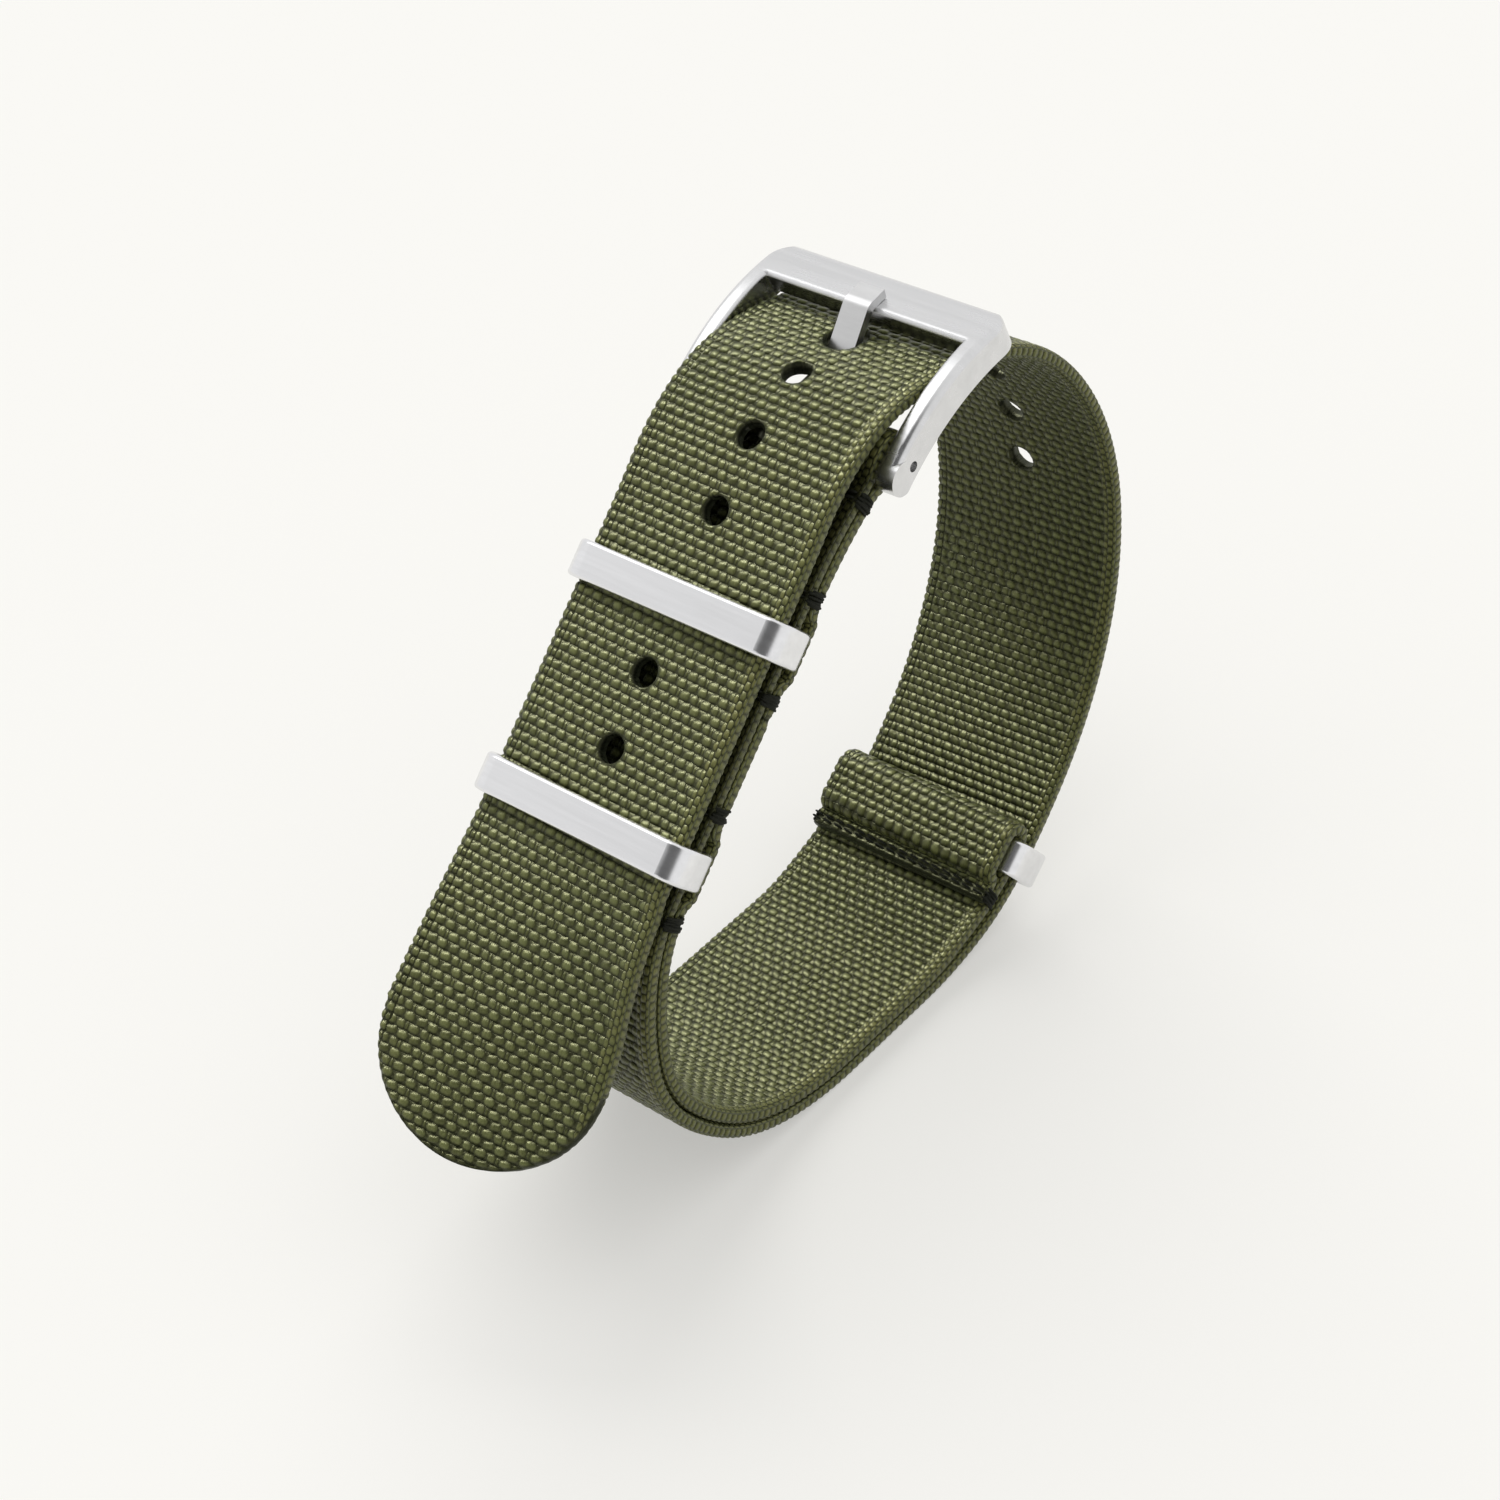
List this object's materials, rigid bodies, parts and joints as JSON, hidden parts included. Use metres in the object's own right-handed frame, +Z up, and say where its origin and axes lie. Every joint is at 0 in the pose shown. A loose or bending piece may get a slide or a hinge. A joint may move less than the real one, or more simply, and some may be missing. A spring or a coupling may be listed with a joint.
{
  "type": "watch strap",
  "caption": "Pass-through watch strap of woven webbing, buckled into a standing loop, with a pin buckle on a spring bar, sewn-in metal keepers and a hinged ring keeper.",
  "frame": {"origin": "middle of the bounding box, at the level of the table that the loop stands on", "axes": "+X from the free tail towards the far side of the loop, +Y across the strap's width towards its far edge, +Z up"},
  "size_m": [0.0806, 0.0238, 0.0646],
  "materials": {
    "webbing": "coarse woven nylon, olive green",
    "thread": "dark olive sewing thread",
    "steel": "brushed stainless steel with polished edges"
  },
  "bodies": {
    "strap": {"long_strap": "webbing", "short_strap": "webbing", "bar_tube": "steel", "bar_spring": "steel", "stitch_row_a": "thread", "stitch_row_b": "thread", "stitch_row_c": "thread", "stitch_row_d": "thread", "stitch_row_e": "thread", "stitch_row_f": "thread"},
    "buckle": {"buckle_frame": "steel"},
    "tongue": {"tongue": "steel"},
    "pin_near": {"bar_pin_near": "steel"},
    "pin_far": {"bar_pin_far": "steel"},
    "keeper_upper": {"keeper_upper": "steel"},
    "keeper_lower": {"keeper_lower": "steel"},
    "ring": {"ring_keeper": "steel"}
  },
  "joints": [
    {"name": "buckle_hinge", "type": "hinge", "parent": "strap", "child": "buckle", "pos_m": [0.01016, 0, 0.0576], "axis": [0, -1, 0], "range_deg": [-2, 2]},
    {"name": "tongue_hinge", "type": "hinge", "parent": "buckle", "child": "tongue", "pos_m": [0.01016, 0, 0.0576], "axis": [0, -1, 0], "range_deg": [0, 2]},
    {"name": "pin_near_slide", "type": "slide", "parent": "strap", "child": "pin_near", "axis": [0, 1, 0], "range_m": [0, 0.001], "stiffness_N_per_m": 500, "springref_m": -0.001},
    {"name": "pin_far_slide", "type": "slide", "parent": "strap", "child": "pin_far", "axis": [0, -1, 0], "range_m": [0, 0.001], "stiffness_N_per_m": 500, "springref_m": -0.001},
    {"name": "keeper_upper_slide", "type": "slide", "parent": "strap", "child": "keeper_upper", "axis": [0.7373, 0, 0.6756], "range_m": [-0.0005, 0.0005]},
    {"name": "keeper_lower_slide", "type": "slide", "parent": "strap", "child": "keeper_lower", "axis": [0.7373, 0, 0.6756], "range_m": [-0.0005, 0.0005]},
    {"name": "ring_hinge", "type": "hinge", "parent": "strap", "child": "ring", "pos_m": [0.02119, 0, 0.00774], "axis": [0, -1, 0], "range_deg": [-4, 4]}
  ]
}
